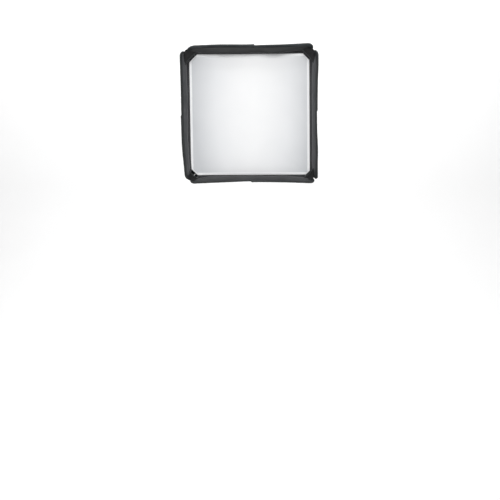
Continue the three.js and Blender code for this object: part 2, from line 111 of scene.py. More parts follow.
# How far short of the front each corner seam stops, behind the rounded hems.
SEAM_SHORT = in_metres({"top_right": 48, "bottom_right": 42, "bottom_left": 62, "top_left": 56})
# How much each web's legs are shorter than in its CAD solid.
WEB_SHORT = in_metres({"top_right": 5, "bottom_right": 16, "bottom_left": 10, "top_left": 0})
# How far the middle of each web's free edge is drawn in.
WEB_SAG = in_metres({"top_right": 1.6, "bottom_right": 2.4, "bottom_left": 4.5, "top_left": 2.2})
# How much less |x| + |z| is at each of the diffuser's cut corners than at the web's free edge.
WEB_GAP = in_metres({"top_right": 4.2, "bottom_right": 4.2, "bottom_left": 12, "top_left": 4.2})

# --- Materials ---

class Finish:
    """A material being built: its node tree and its shader."""

    def __init__(self, name, colour, roughness, metallic=0.0):
        self.material = bpy.data.materials.new(name)
        self.material.use_nodes = True
        self.tree = self.material.node_tree
        self.shader = self.tree.nodes["Principled BSDF"]
        self.look("Base Color", (*colour, 1))
        self.look("Roughness", roughness)
        self.look("Metallic", metallic)

    def feed(self, made, socket, value):
        """Gives a node's socket a value, or links another node's output to it."""
        if isinstance(value, bpy.types.NodeSocket):
            self.tree.links.new(value, made.inputs[socket])
        else:
            made.inputs[socket].default_value = value

    def look(self, socket, value):
        """Feeds a socket of the shader."""
        self.feed(self.shader, socket, value)

    def node(self, kind, inputs=None, **settings):
        """A new node with these settings, its sockets fed from inputs."""
        made = self.tree.nodes.new(kind)
        for key, value in settings.items():
            setattr(made, key, value)
        for socket, value in (inputs or {}).items():
            self.feed(made, socket, value)
        return made

    def math(self, operation, a, b=None):
        inputs = {0: a} if b is None else {0: a, 1: b}
        return self.node("ShaderNodeMath", inputs, operation=operation).outputs[0]

    def place(self):
        """Position on the piece, in metres, which doesn't move with the pose."""
        return self.node("ShaderNodeTexCoord").outputs["Object"]

    def cloth_place(self):
        """Position along the cloth's own threads, in metres."""
        return self.node("ShaderNodeUVMap", uv_map="cloth").outputs[0]

    def noise(self, place, scale, detail=3.0, rough=0.55):
        inputs = {"Scale": scale, "Detail": detail, "Roughness": rough, "Vector": place}
        return self.node("ShaderNodeTexNoise", inputs).outputs["Fac"]

    def ramp(self, factor, stops):
        made = self.node("ShaderNodeValToRGB", {0: factor})
        band = made.color_ramp
        while len(band.elements) < len(stops):
            band.elements.new(0.5)
        for element, (at, colour) in zip(band.elements, stops, strict=True):
            element.position = at
            element.color = (*colour, 1)
        return made.outputs[0]

    def spread(self, factor, low, high):
        inputs = {"To Min": low, "To Max": high, "Value": factor}
        return self.node("ShaderNodeMapRange", inputs).outputs[0]

    def weave(self, place, pitch):
        """Height of a plain weave: threads over and under at this pitch."""
        apart = self.node("ShaderNodeSeparateXYZ", {0: place})
        turn = 2 * math.pi / pitch
        warp = self.math("SINE", self.math("MULTIPLY", apart.outputs[0], turn))
        weft = self.math("SINE", self.math("MULTIPLY", apart.outputs[1], turn))
        return self.math("MULTIPLY", warp, weft)

    def bump(self, layers):
        """Chained bumps, each (height, strength, distance in metres)."""
        normal = None
        for height, strength, distance in layers:
            inputs = {"Strength": strength, "Distance": distance, "Height": height}
            made = self.node("ShaderNodeBump", inputs)
            if normal is not None:
                self.feed(made, "Normal", normal)
            normal = made.outputs[0]
        self.look("Normal", normal)


def cloth_finish(name, dark, light, roughness, pitch, sheen=0.15, creases=0.35):
    """Woven cloth with uneven dye, a faint sheen and soft creases."""
    finish = Finish(name, light, roughness)
    place = finish.cloth_place()
    patches = finish.noise(place, 14, 5)
    finish.look("Base Color", finish.ramp(patches, [(0.3, dark), (0.7, light)]))
    finish.look("Roughness", finish.spread(patches, roughness - 0.08, roughness + 0.08))
    finish.look("Sheen Weight", sheen)
    finish.look("Sheen Roughness", 0.4)
    finish.look("Specular IOR Level", 0.35)
    finish.bump([
        (finish.noise(place, 32, 4), creases, 1.2 * MM),
        (finish.weave(place, pitch), 0.35, 0.08 * MM),
    ])
    return finish.material


def silver_finish():
    """Metallised lining: pebbled, with fine crinkles."""
    finish = Finish("silver_lining", (0.62, 0.63, 0.65), 0.36, 0.75)
    place = finish.cloth_place()
    cells = finish.node("ShaderNodeTexVoronoi", {"Scale": 420, "Vector": place})
    crinkle = finish.noise(place, 45, 5)
    tone = finish.ramp(crinkle, [(0.3, (0.5, 0.51, 0.53)), (0.7, (0.68, 0.69, 0.71))])
    finish.look("Base Color", tone)
    finish.look("Roughness", finish.spread(crinkle, 0.3, 0.46))
    finish.bump([(crinkle, 0.5, 1.0 * MM), (cells.outputs["Distance"], 0.3, 0.25 * MM)])
    return finish.material


def pile_finish():
    """Hook-and-loop tape: a matted pile of fine loops."""
    finish = Finish("loop_pile", (0.012, 0.012, 0.014), 0.95)
    tufts = finish.noise(finish.cloth_place(), 900, 2, 0.7)
    tone = finish.ramp(tufts, [(0.35, (0.006, 0.006, 0.008)), (0.7, (0.035, 0.035, 0.04))])
    finish.look("Base Color", tone)
    finish.look("Sheen Weight", 0.3)
    finish.bump([(tufts, 0.9, 0.5 * MM)])
    return finish.material


def diffuser_finish():
    """White diffusion cloth with painted shade: darker towards its left, right and lower edges, with
    uneven patches.
    """
    finish = Finish("diffusion_cloth", (0.86, 0.87, 0.88), 0.85)
    apart = finish.node("ShaderNodeSeparateXYZ", {0: finish.place()})
    # Painted light and shade: the colour is brightest a little right of the middle and darker towards
    # the left, right and lower edges, where the light falls off.
    painted_light_shift_x = 12 * MM
    across = finish.math("DIVIDE", finish.math("SUBTRACT", apart.outputs[0], painted_light_shift_x), DIFFUSER_HALF)
    up = finish.math("DIVIDE", finish.math("SUBTRACT", apart.outputs[2], AXIS_Z), DIFFUSER_HALF)
    sides = finish.math("POWER", finish.math("ABSOLUTE", across), 1.6)
    low = finish.math("POWER", finish.math("MAXIMUM", finish.math("MULTIPLY", up, -0.4), 0.0), 1.5)
    centred = finish.math("SUBTRACT", finish.noise(finish.place(), 7, 2), 0.5)
    patchy = finish.math("MULTIPLY", centred, 0.16)
    shade = finish.math("ADD", finish.math("ADD", sides, low), patchy)
    finish.look("Base Color", finish.ramp(shade, [
        (0.0, (0.95, 0.955, 0.96)), (0.45, (0.825, 0.835, 0.85)), (1.0, (0.61, 0.625, 0.645)),
    ]))
    finish.look("Sheen Weight", 0.1)
    finish.look("Specular IOR Level", 0.2)
    threads = finish.cloth_place()
    finish.bump([
        (finish.noise(threads, 22, 3), 0.2, 1.0 * MM),
        (finish.weave(threads, 0.7 * MM), 0.25, 0.06 * MM),
    ])
    return finish.material


def hard_finish(name, low, high, roughness, metallic, grain, depth, coat=0.0):
    """Moulded, painted or plated surface with fine grain and handling marks."""
    finish = Finish(name, high, roughness, metallic)
    place = finish.place()
    marks = finish.noise(place, 60, 6, 0.65)
    finish.look("Base Color", finish.ramp(marks, [(0.35, low), (0.7, high)]))
    finish.look("Roughness", finish.spread(marks, roughness - 0.1, roughness + 0.1))
    finish.look("Coat Weight", coat)
    finish.bump([(finish.noise(place, grain, 2), 0.4, depth)])
    return finish.material


def brushed_finish(name, colour, along):
    """Plated or drawn metal with fine lines along one axis."""
    finish = Finish(name, colour, 0.32, 1.0)
    inputs = {0: finish.place(), 1: along}
    stretch = finish.node("ShaderNodeVectorMath", inputs, operation="MULTIPLY")
    lines = finish.noise(stretch.outputs[0], 1, 3, 0.7)
    finish.look("Roughness", finish.spread(lines, 0.22, 0.45))
    finish.bump([(lines, 0.25, 0.05 * MM)])
    return finish.material


BLACK_CLOTH = cloth_finish("black_nylon", (0.008, 0.009, 0.010), (0.019, 0.021, 0.022),
                           0.5, 0.8 * MM, 0.08)
LIP_CLOTHS, HEM_CLOTHS = {}, {}
# Lit and shaded copies of the lip and hem cloth, one for each side: painted light and shade.
for side_name, (lip_painted_light, hem_painted_light) in PAINTED_SIDE_LIGHT.items():
    # The lip cloth is coloured lighter than the outer black nylon: painted sheen of grazing light on
    # the black lip.
    LIP_CLOTHS[side_name] = cloth_finish(
        f"black_lip_painted_light_{side_name}", np.array((0.045, 0.047, 0.05)) * lip_painted_light,
        np.array((0.075, 0.077, 0.082)) * lip_painted_light, 0.5, 0.8 * MM, 0.4 * lip_painted_light)
    HEM_CLOTHS[side_name] = cloth_finish(
        f"hem_binding_painted_light_{side_name}", np.array((0.008, 0.010, 0.011)) * hem_painted_light,
        np.array((0.020, 0.023, 0.024)) * hem_painted_light, 0.5, 1.1 * MM, 0.1, 0.5)
HEM_CLOTH = HEM_CLOTHS["left"]
# The web cloth is coloured darker than the other black nylon: painted shade for the deep shadow in the
# front corners.
WEB_CLOTH = cloth_finish("black_web", (0.003, 0.003, 0.003), (0.008, 0.008, 0.009),
                         0.7, 0.8 * MM, 0.03)
WHITE_CLOTH = cloth_finish("white_hem", (0.87, 0.88, 0.89), (0.93, 0.935, 0.94),
                           0.85, 0.9 * MM, 0.1, 0.2)
SILVER = silver_finish()
PILE = pile_finish()
DIFFUSION = diffuser_finish()
BLACK_THREAD = cloth_finish("black_thread", (0.03, 0.032, 0.034), (0.06, 0.063, 0.066),
                            0.5, 0.5 * MM, 0.3)
WHITE_THREAD = cloth_finish("white_thread", (0.8, 0.81, 0.82), (0.9, 0.9, 0.9), 0.7, 0.5 * MM, 0.1)
PLASTIC = hard_finish("black_plastic", (0.014, 0.014, 0.015), (0.028, 0.029, 0.031),
                      0.52, 0.0, 1600, 0.1 * MM)
PAINT = hard_finish("black_paint", (0.012, 0.012, 0.013), (0.022, 0.022, 0.024),
                    0.42, 0.0, 900, 0.06 * MM, 0.3)
ALLOY = hard_finish("black_alloy", (0.03, 0.031, 0.033), (0.06, 0.062, 0.066),
                    0.38, 0.8, 1200, 0.04 * MM)
ZINC = brushed_finish("zinc_plate", (0.68, 0.69, 0.71), (300, 300, 3000))
STEEL = brushed_finish("spring_steel", (0.42, 0.43, 0.45), (60, 60, 60))


# --- Mesh building ---

def circle(count):
    """The directions of this many places round a circle, as angles."""
    return np.linspace(0, 2 * math.pi, count, endpoint=False)


def squared_circle(count, power):
    """Places round a unit circle that is pushed out towards a square."""
    turns = circle(count)
    spokes = np.stack([np.cos(turns), np.sin(turns)], 1)
    return np.sign(spokes) * np.abs(spokes) ** power


def rounded_square(half, turns):
    """How far the edge of a square with rounded corners lies in each direction."""
    return half / (np.abs(np.cos(turns)) ** 14 + np.abs(np.sin(turns)) ** 14) ** (1 / 14)


def eased(share):
    """A share from 0 to 1 with a soft start and end."""
    return share * share * (3 - 2 * share)


def joined(*coordinates):
    """The coordinates of each place on a grid, side by side."""
    return np.stack(np.broadcast_arrays(*coordinates), -1)


def read_along(at, along, values):
    """Both columns of values, read off at these lengths along a line."""
    return np.stack([np.interp(at, along, values[:, k]) for k in (0, 1)], 1)


def turned_rings(profile, x, y, z, count):
    """Rings about a place along Y, from an outline of radii and heights in millimetres."""
    return np.array([[
        (x + r * MM * math.cos(a), y + rise * MM, z + r * MM * math.sin(a))
        for a in circle(count)] for r, rise in profile])


def stepped(places, directions, depths):
    """Both coordinates of places on an edge, moved by depths along their directions."""
    return (places[:, None, k] + directions[:, None, k] * depths for k in (0, 1))


def runs_along(line):
    """Unit directions along a closed line of places."""
    runs = np.roll(line, -1, 0) - np.roll(line, 1, 0)
    return runs / np.linalg.norm(runs, axis=1, keepdims=True)


def grid_faces(rows, columns, wrap_rows=False, wrap_columns=False, first=0):
    """Faces over a grid of points, whose last row or column may join its first."""
    faces = []
    for i in range(rows if wrap_rows else rows - 1):
        for j in range(columns if wrap_columns else columns - 1):
            below, beside = (i + 1) % rows, (j + 1) % columns
            faces.append((
                first + i * columns + j, first + below * columns + j,
                first + below * columns + beside, first + i * columns + beside,
            ))
    return faces


def mesh_piece(name, points, faces, material, threads=None, smooth=True):
    """A mesh object; threads gives each point's place along the cloth, in metres."""
    mesh = bpy.data.meshes.new(name)
    mesh.from_pydata(np.asarray(points).tolist(), [], faces)
    mesh.materials.append(material)
    if threads is not None:
        layer = mesh.uv_layers.new(name="cloth")
        corners = np.zeros(len(mesh.loops), np.int32)
        mesh.loops.foreach_get("vertex_index", corners)
        layer.data.foreach_set("uv", np.asarray(threads, np.float32)[corners].ravel())
    if smooth:
        mesh.polygons.foreach_set("use_smooth", [True] * len(mesh.polygons))
    mesh.update()
    piece = bpy.data.objects.new(name, mesh)
    bpy.context.scene.collection.objects.link(piece)
    return piece


def thicken(piece, thick):
    """Gives a sheet its thickness, half on each side."""
    solid = piece.modifiers.new("thickness", "SOLIDIFY")
    solid.thickness = thick
    solid.offset = 0


def settle(piece, body="softbox"):
    """Attaches a piece to the body that it moves with."""
    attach(piece, body)
    return piece


def sheet_piece(name, points, threads, material, thick, body="softbox"):
    """A grid of points, rows by columns, as a sheet of cloth with a thickness."""
    rows, columns = points.shape[:2]
    piece = mesh_piece(name, points.reshape(-1, 3), grid_faces(rows, columns), material,
                       threads.reshape(-1, 2))
    thicken(piece, thick)
    return settle(piece, body)


def loft_piece(name, rings, material, threads, closed, body="softbox"):
    """A tube through rings of points; closed joins the last ring to the first."""
    count, around = rings.shape[:2]
    faces = grid_faces(count, around, closed, True)
    if not closed:
        faces += [tuple(range(around)), tuple(reversed(range(
            (count - 1) * around, count * around)))]
    piece = mesh_piece(name, rings.reshape(-1, 3), faces, material, threads.reshape(-1, 2))
    outward(piece)
    return settle(piece, body)


def outward(piece):
    """Turns the faces of a closed mesh to point out."""
    work = bmesh.new()
    work.from_mesh(piece.data)
    bmesh.ops.recalc_face_normals(work, faces=work.faces)
    work.to_mesh(piece.data)
    work.free()


def stitches(name, places, runs, outs, material, body, size=(2.5 * MM, 0.42 * MM)):
    """A row of short raised threads: where each is, which way it runs and which way is out."""
    length, radius = size
    profile = [(-0.5, 0.25), (-0.28, 1.0), (0.28, 1.0), (0.5, 0.25)]
    around = 5
    points, faces = [], []
    for place, run, out in zip(places, runs, outs, strict=True):
        first = len(points)
        across = np.cross(run, out)
        for along, fat in profile:
            for k in range(around):
                turn = 2 * math.pi * k / around
                side = math.cos(turn) * across + 0.7 * math.sin(turn) * out
                points.append(place + along * length * run + fat * radius * side)
        faces += grid_faces(len(profile), around, False, True, first)
        last = first + around * (len(profile) - 1)
        faces += [tuple(range(first, first + around)),
                  tuple(reversed(range(last, last + around)))]
    points = np.array(points)
    piece = mesh_piece(name, points, faces, material, points[:, [0, 2]])
    outward(piece)
    return settle(piece, body)


def ripple(a, b, seed, size, waves=7):
    """A smooth uneven height from -1 to 1 over two coordinates, in features of this size."""
    draw = np.random.default_rng(seed)
    height = np.zeros(np.broadcast(a, b).shape)
    for _ in range(waves):
        heading, phase = draw.uniform(0, 2 * math.pi, 2)
        reach = 2 * math.pi / (size * draw.uniform(0.7, 1.6))
        height += np.sin(reach * (a * math.cos(heading) + b * math.sin(heading)) + phase)
    return height / waves ** 0.5 / 1.6


def quarter_turn(points, count):
    """Moves points of the top wall round to the right, bottom and left, about the axis."""
    turn = count * math.pi / 2
    cos, sin = round(math.cos(turn)), round(math.sin(turn))
    x, y, z = np.moveaxis(np.asarray(points, float), -1, 0)
    return np.stack([x * cos + z * sin, y, z * cos - x * sin + AXIS_Z], axis=-1)


def turned_direction(vectors, count):
    return quarter_turn(vectors, count) - [0, 0, AXIS_Z]


def wall_point(side, u, v, w):
    """Place on a wall: u across it, v from rear to front, w out of its plane."""
    u, v, w = (np.array(values, float) for values in np.broadcast_arrays(u, v, w))
    for hand, (_, draw, bend) in zip((1, -1), WALL_ENDS[SIDES[side]], strict=True):
        share = np.clip((hand * u - 100 * MM) / (160 * MM), 0, 1)
        share = eased(share) * np.clip(v / SLANT, 0, 1) ** 3
        u = u - hand * draw * share
        w = w - bend * share
    lip = np.clip((v - TAPE_AT) / (SLANT - TAPE_AT), 0, 1)
    bow = EDGE_BOW[SIDES[side]] * np.clip(1 - (u / (250 * MM)) ** 2, 0, 1) ** 1.5
    w = w - bow * eased(lip)
    cos, sin = math.cos(FLARE), math.sin(FLARE)
    top = np.stack([-u, REAR_Y - v * cos + w * sin, REAR_HALF + v * sin + w * cos], axis=-1)
    return quarter_turn(top, side)


# --- The outline of a wall ---

def corner_arc(radius, inset, end):
    """Centre and bend of a rounded corner of the outline, at the front or rear end."""
    bend = max(radius - inset, 0.4 * MM)
    centre = SLANT - inset - bend if end == "front" else inset + bend
    middle = REAR_HALF + centre * math.tan(SPREAD) - (SEAM_INSET + inset + bend) / math.cos(SPREAD)
    return middle, centre, bend


def half_at(v, inset, corner):
    """Half-width of the wall's outline at v, moved in by inset, rounded corners included."""
    side = REAR_HALF + v * math.tan(SPREAD) - (SEAM_INSET + inset) / math.cos(SPREAD)
    for radius, end, toward in ((corner, "front", 1), (REAR_CORNER, "rear", -1)):
        middle, centre, bend = corner_arc(radius, inset, end)
        past = (v - centre + bend * math.sin(SPREAD)) * toward > 0
        arc = middle + np.sqrt(np.clip(bend ** 2 - (v - centre) ** 2, 0, None))
        side = np.where(past, arc, side)
    return side


def half_outline(corner):
    """Half of the wall's outline, rear to front, with the direction inward at each place."""
    places, facing = [], []
    arcs = ((REAR_CORNER, "rear", -math.pi / 2, -SPREAD), (corner, "front", -SPREAD, math.pi / 2))
    for radius, end, turn_from, turn_to in arcs:
        middle, centre, bend = corner_arc(radius, 0, end)
        turns = np.linspace(turn_from, turn_to, 17)
        spoke = np.stack([np.cos(turns), np.sin(turns)], 1)
        places.append([middle, centre] + bend * spoke)
        facing.append(-spoke)
    return np.concatenate(places), np.concatenate(facing)


def outline(side, step):
    """Evenly spaced places round the wall's edge, with the direction inward and the length."""
    first, second = (end[0] for end in WALL_ENDS[SIDES[side]])
    mirror = np.array([-1, 1])
    near, near_facing = half_outline(first)
    far, far_facing = half_outline(second)
    corners = np.concatenate([near, far[::-1] * mirror, near[:1]])
    facing = np.concatenate([near_facing, far_facing[::-1] * mirror, near_facing[:1]])
    gaps = np.linalg.norm(np.diff(corners, axis=0), axis=1)
    along = np.concatenate([[0], np.cumsum(gaps)])
    keep = np.concatenate([[True], gaps > 1e-7])
    along, corners, facing = along[keep], corners[keep], facing[keep]
    count = round(along[-1] / step)
    at = np.arange(count) * along[-1] / count
    face = read_along(at, along, facing)
    face /= np.linalg.norm(face, axis=1, keepdims=True)
    return read_along(at, along, corners), face, at


def hem_sway(side, place):
    """How far the hem strays out of the wall's plane and inward, along its outline.

    The hem's two ends overlap near the middle of the front edge, which leaves a step there.
    """
    u, v = place[:, 0], place[:, 1]
    past_lap = u - HEM_LAP[SIDES[side]]
    near_front = np.clip((v / SLANT - 0.75) * 4, 0, 1)
    at_front = np.clip((v - SLANT + 20 * MM) / (20 * MM), 0, 1)
    lap = np.tanh(past_lap / (1.6 * MM)) * np.exp(-np.abs(past_lap) / (60 * MM)) * at_front
    out = ripple(u, v, 40 + side, 0.16) * (0.5 + 1.0 * near_front) * MM
    out += (1 - 2 * (side % 2)) * near_front * np.sign(past_lap) * 0.5 * MM + 0.7 * MM * lap
    inward = ripple(u, v, 50 + side, 0.19) * (0.3 + 0.9 * near_front) * MM - 1.4 * MM * lap
    return out, inward, 1 + 0.12 * lap


def wall_hem(side, name):
    """The hem rolled over the hoop: a round bead outside, a flat stitched band inside."""
    place, inward, along = outline(side, 2.6 * MM)
    section = np.array([
        (19.0, 1.8), (18.3, 2.3), (16.9, 2.45), (16.1, 2.05), (15.3, 2.5), (11.6, 2.9),
        (8.0, 3.35), (5.6, 3.75), (3.8, 3.95), (2.4, 3.75), (1.2, 3.0), (0.35, 1.7), (0.0, 0.0),
    ]) * MM
    section = np.concatenate([section, section[-2::-1] * [1, -1]])
    out, shift, swell = hem_sway(side, place)
    pucker = np.sin(along * 2 * math.pi / (6.5 * MM) + 1.5 * ripple(along, along, 7, 0.05))
    depth = section[None, :, 0] + shift[:, None]
    band = np.exp(-((section[:, 0] - STITCH_INSET) / (3 * MM)) ** 2)
    bead = np.exp(-((section[:, 0] - 3 * MM) / (4 * MM)) ** 2)
    folds = ripple(along, along, 60 + side, 0.016, 9)
    rise = section[None, :, 1] * swell[:, None]
    rise = rise * (1 + 0.12 * band * pucker[:, None]) * (1 + 0.09 * bead * folds[:, None])
    u, v = stepped(place, inward, depth)
    points = wall_point(side, u, v, rise + out[:, None])
    girth = section[:, 0] + section[:, 1]
    threads = joined(along[:, None], girth[None, :])
    hem = loft_piece(f"{name}_rolled_hem", points, HEM_CLOTHS[name], threads, True)
    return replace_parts(hem, f"{name}_hem")


def wall_hoop(side, name):
    """The round spring wire inside the hem."""
    place, inward, along = outline(side, 5 * MM)
    out, shift, _ = hem_sway(side, place)
    turns = circle(10)
    depth = HOOP_INSET + HOOP_RADIUS * np.cos(turns)[None, :] + shift[:, None]
    u, v = stepped(place, inward, depth)
    w = HOOP_RADIUS * np.sin(turns)[None, :] + out[:, None]
    threads = joined(along[:, None], turns[None, :] * HOOP_RADIUS)
    hoop = loft_piece(f"{name}_spring_hoop", wall_point(side, u, v, w), STEEL,
                      threads, True)
    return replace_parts(hoop, f"{name}_hoop")


def hem_stitching(side, name):
    """Two rows of stitches on the hem's band, one on each face."""
    place, inward, _ = outline(side, 3.8 * MM)
    out, shift, swell = hem_sway(side, place)
    spots, runs, outs = [], [], []
    normal = turned_direction([0, math.sin(FLARE), math.cos(FLARE)], side)
    u, v = stepped(place, inward, (STITCH_INSET + shift)[:, None])
    for face in (1, -1):
        line = wall_point(side, u[:, 0], v[:, 0], out + face * 2.25 * MM * swell)
        spots.append(line)
        runs.append(runs_along(line))
        outs.append(np.tile(normal * face, (len(line), 1)))
    return stitches(f"{name}_hem_stitching", np.concatenate(spots), np.concatenate(runs),
                    np.concatenate(outs), BLACK_THREAD, "softbox")


def tape_pull(side, u):
    """How far the diffuser's tape is pulled in at u along a wall."""
    first, second = TAPE_PULL[SIDES[side]]
    share = np.clip(u / DIFFUSER_HALF, -1, 1) / 2 + 0.5
    return share * first + (1 - share) * second


def cloth_height(side, u, v, layer):
    """Soft sag, tension folds from the corners and old fold lines of a wall's cloth."""
    half = half_at(v, CLOTH_INSET, 20 * MM)
    across = u / half
    along = (v - CLOTH_INSET) / (SLANT - 2 * CLOTH_INSET)
    held = np.clip(1 - across ** 4, 0, 1) * np.clip(1 - (2 * along - 1) ** 6, 0, 1)
    height = -2.4 * MM * np.clip(1 - across ** 2, 0, 1) * np.clip(4 * along * (1 - along), 0, 1)
    for k, (end, width) in enumerate(((0.0, REAR_HALF), (SLANT, FRONT_HALF))):
        for hand in (-1, 1):
            du, dv = u - hand * width, v - end
            away = np.hypot(du, dv)
            fan = np.arctan2(dv, du * hand)
            height += (1.5 * MM * np.exp(-away / 0.12) * held
                       * np.sin(17 * fan + 2.3 * side + k + hand))
    height += 1.1 * MM * held * ripple(u, v, 10 * layer + side, 0.11)
    height += 0.4 * MM * held * ripple(u, v, 80 + 10 * layer + side, 0.03, 9)
    if layer == 2:
        near = np.exp(-((v - TAPE_AT) / (26 * MM)) ** 2)
        near = near * np.clip((SLANT - v - 10 * MM) / (12 * MM), 0, 1)
        height -= tape_pull(side, u) * near * np.clip(1 - across ** 8, 0, 1)
    crease = np.abs(across * 0.5 + (along - 0.5) * 0.4 * (-1) ** side)
    return height + 0.9 * MM * held * np.exp(-(crease / 0.012) ** 2)


def wall_grid(side, low, high, columns, rows):
    """Places over the part of a wall from v = low to high, closer together at the ends."""
    first, second = (end[0] for end in WALL_ENDS[SIDES[side]])
    ease = np.linspace(0, 1, rows)
    v = low + (high - low) * (ease - np.sin(2 * math.pi * ease) / (2 * math.pi) * 0.7)
    share = np.linspace(0, 1, columns)[None, :]
    near, far = half_at(v, CLOTH_INSET, first)[:, None], half_at(v, CLOTH_INSET, second)[:, None]
    return share * near - (1 - share) * far, np.broadcast_to(v[:, None], (rows, columns))


def wall_sheet(side, name, what, span, height, finish, size):
    """A sheet over part of a wall; finish is its material and a slot name, and the slot name is not
    used.
    """
    material, slot = finish
    u, v = wall_grid(side, *span, *size)
    points = wall_point(side, u, v, height(u, v))
    return sheet_piece(f"{name}_{what}", points, np.stack([u, v], -1), material, 0.5 * MM)


def declare_wall(side, span, height, with_pieces):
    """Works out the length of the cloth a wall's sheet is cut from, with the slack, across its width;
    nothing uses it.
    """
    u, v = wall_grid(side, *span, 40, 80)
    lengths = np.hypot(np.diff(v, axis=0), np.diff(height(u, v), axis=0)).sum(axis=0)


def loop_tape(side, name):
    """The pile tape on the inside of the lip that the diffuser grips."""
    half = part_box("top_loop_tape")[1].x
    across = np.linspace(-half, half, 160)
    squared = squared_circle(12, 0.5)
    wave = ripple(across, across, 90 + side, 0.09) * 0.5 * MM
    u = np.broadcast_to(across[:, None], (160, 12))
    v = TAPE_AT - 1.5 * MM + squared[None, :, 0] * (TAPE_WIDTH / 2 - 1.5 * MM) + wave[:, None]
    sag = cloth_height(side, u, v, 2)
    w = sag - 2.6 * MM + squared[None, :, 1] * 0.75 * MM
    threads = np.stack([u, v], -1)
    points = wall_point(side, u, v, w)
    tape = loft_piece(f"{name}_pile_tape", points, PILE, threads, False)
    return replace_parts(tape, f"{name}_loop_tape")


def build_wall(side, name):
    rear, front = CLOTH_INSET, SLANT - CLOTH_INSET
    split = TAPE_AT + TAPE_WIDTH / 4
    lip_low = split - 3 * MM
    belly = LIP_BELLY[name]

    def lip_height(u, v):
        share = np.clip((v - lip_low - 4 * MM) / (front - lip_low - 4 * MM), 0, 1)
        reach = np.clip(1 - (u / (235 * MM)) ** 4, 0, 1)
        uneven = 1 + 0.25 * ripple(u, u, 137 + side, 0.16)
        swell = belly * np.sin(math.pi * share ** 0.8) * reach * uneven
        return cloth_height(side, u, v, 2) - CLOTH_LIFT - 0.5 * MM - swell

    def outer_height(u, v):
        return cloth_height(side, u, v, 1) + CLOTH_LIFT

    def lining_height(u, v):
        return cloth_height(side, u, v, 2) - CLOTH_LIFT

    hoop = wall_hoop(side, name)
    hem = wall_hem(side, name)
    outer = wall_sheet(side, name, "outer_cloth", (rear, front), outer_height,
                       (BLACK_CLOTH, "black_cloth"), (120, 100))
    lining = wall_sheet(side, name, "silver_lining", (rear, split), lining_height,
                        (SILVER, "silver_cloth"), (90, 80))
    lip = wall_sheet(side, name, "lip_cloth", (lip_low, front), lip_height,
                     (LIP_CLOTHS[name], "black_cloth"), (150, 24))
    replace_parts(outer, f"{name}_panel")
    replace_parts(lining, f"{name}_lining")
    declare_wall(side, (rear, front), outer_height,
                 [hem, hem_stitching(side, name)])
    declare_wall(side, (rear, split), lining_height, [])
    declare_wall(side, (lip_low, front), lip_height, [loop_tape(side, name)])


# --- Corner seams and webs ---

SEAM_ALONG = np.array([FRONT_HALF - REAR_HALF, -DEPTH, FRONT_HALF - REAR_HALF])
SEAM_LENGTH = float(np.linalg.norm(SEAM_ALONG))
SEAM_ALONG = SEAM_ALONG / SEAM_LENGTH
SEAM_ACROSS = np.array([1, 0, -1]) / math.sqrt(2)
SEAM_OUT = np.cross(SEAM_ALONG, SEAM_ACROSS)
SEAM_START = np.array([REAR_HALF, REAR_Y, REAR_HALF])


def corner_seam(count, name):
    """The strip of cloth that joins two walls' hems down a corner."""
    along = np.linspace(6 * MM, SEAM_LENGTH - SEAM_SHORT[name], 150)
    across = np.linspace(-1, 1, 11)
    bulge = ripple(along, along, 100 + count, 0.05) * 0.5 * MM
    reach = 4.6 * MM + 0.3 * MM * ripple(along, along, 110 + count, 0.03)
    side = across[None, :] * reach[:, None]
    rise = (-0.4 * MM + bulge[:, None]) - 1.6 * MM * across[None, :] ** 2
    points = (SEAM_START + along[:, None, None] * SEAM_ALONG
              + side[..., None] * SEAM_ACROSS + rise[..., None] * SEAM_OUT)
    threads = joined(side, along[:, None])
    seam = sheet_piece(f"{name}_seam_cloth", quarter_turn(points, count), threads, BLACK_CLOTH,
                       0.6 * MM)
    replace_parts(seam, f"{name}_seam")


def corner_web(count, name):
    """The black web across a front corner, pulled in along its bound free edge."""
    face = web_high.z - AXIS_Z
    leg = web_high.x - web_low.x - WEB_SHORT[name]
    start = np.array([face - leg - 1.5 * MM, WEB_Y, face])
    end = np.array([face, WEB_Y, face - leg - 1.5 * MM])
    t = np.linspace(0, 1, 41)[:, None]
    inward = np.array([1, 0, 1]) / math.sqrt(2)
    free = start + t * (end - start) + np.sin(math.pi * t) * WEB_SAG[name] * inward
    back, tuck = min(24 * MM, leg - 8 * MM), np.array([0, -6 * MM, 0])
    first = np.array([face - back, WEB_Y, face + 2 * MM]) + tuck
    last = np.array([face + 2 * MM, WEB_Y, face - back]) + tuck
    corner = np.array([face + 4 * MM, WEB_Y + 2 * MM, face + 4 * MM])
    outer = (1 - t) ** 2 * first + 2 * t * (1 - t) * corner + t ** 2 * last
    depth = np.linspace(0, 1, 22)
    grid = free[None] + depth[:, None, None] * (outer - free)[None]
    t = t[:, 0]
    belly = np.sin(math.pi * t)[None, :] * np.sin(math.pi * depth)[:, None]
    folds = ripple(t[None, :] * leg, depth[:, None] * leg, 120 + count, 0.03)
    grid[..., 1] += (3.0 * belly + 1.2 * belly * folds) * MM
    threads = grid[..., [0, 2]]
    web = sheet_piece(f"{name}_web_cloth", quarter_turn(grid, count), threads, WEB_CLOTH, 0.7 * MM)
    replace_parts(web, f"{name}_web")
    turns = circle(12)
    ring = (np.cos(turns)[:, None] * inward * 2.6 * MM + np.sin(turns)[:, None] * [0, 1.1 * MM, 0])
    edge = free[:, None, :] + ring[None] + inward * 1.4 * MM
    edge_threads = joined(t[:, None] * 0.09, turns[None] * 2 * MM)
    binding = loft_piece(f"{name}_web_binding", quarter_turn(edge, count), HEM_CLOTH, edge_threads,
                         False)


# --- Diffuser and baffle ---

# The signs of x and z in each corner, anticlockwise from the top right, seen from the front.
QUADRANTS = [(1, 1), (-1, 1), (-1, -1), (1, -1)]
QUADRANT_NAMES = ["top_right", "top_left", "bottom_left", "bottom_right"]


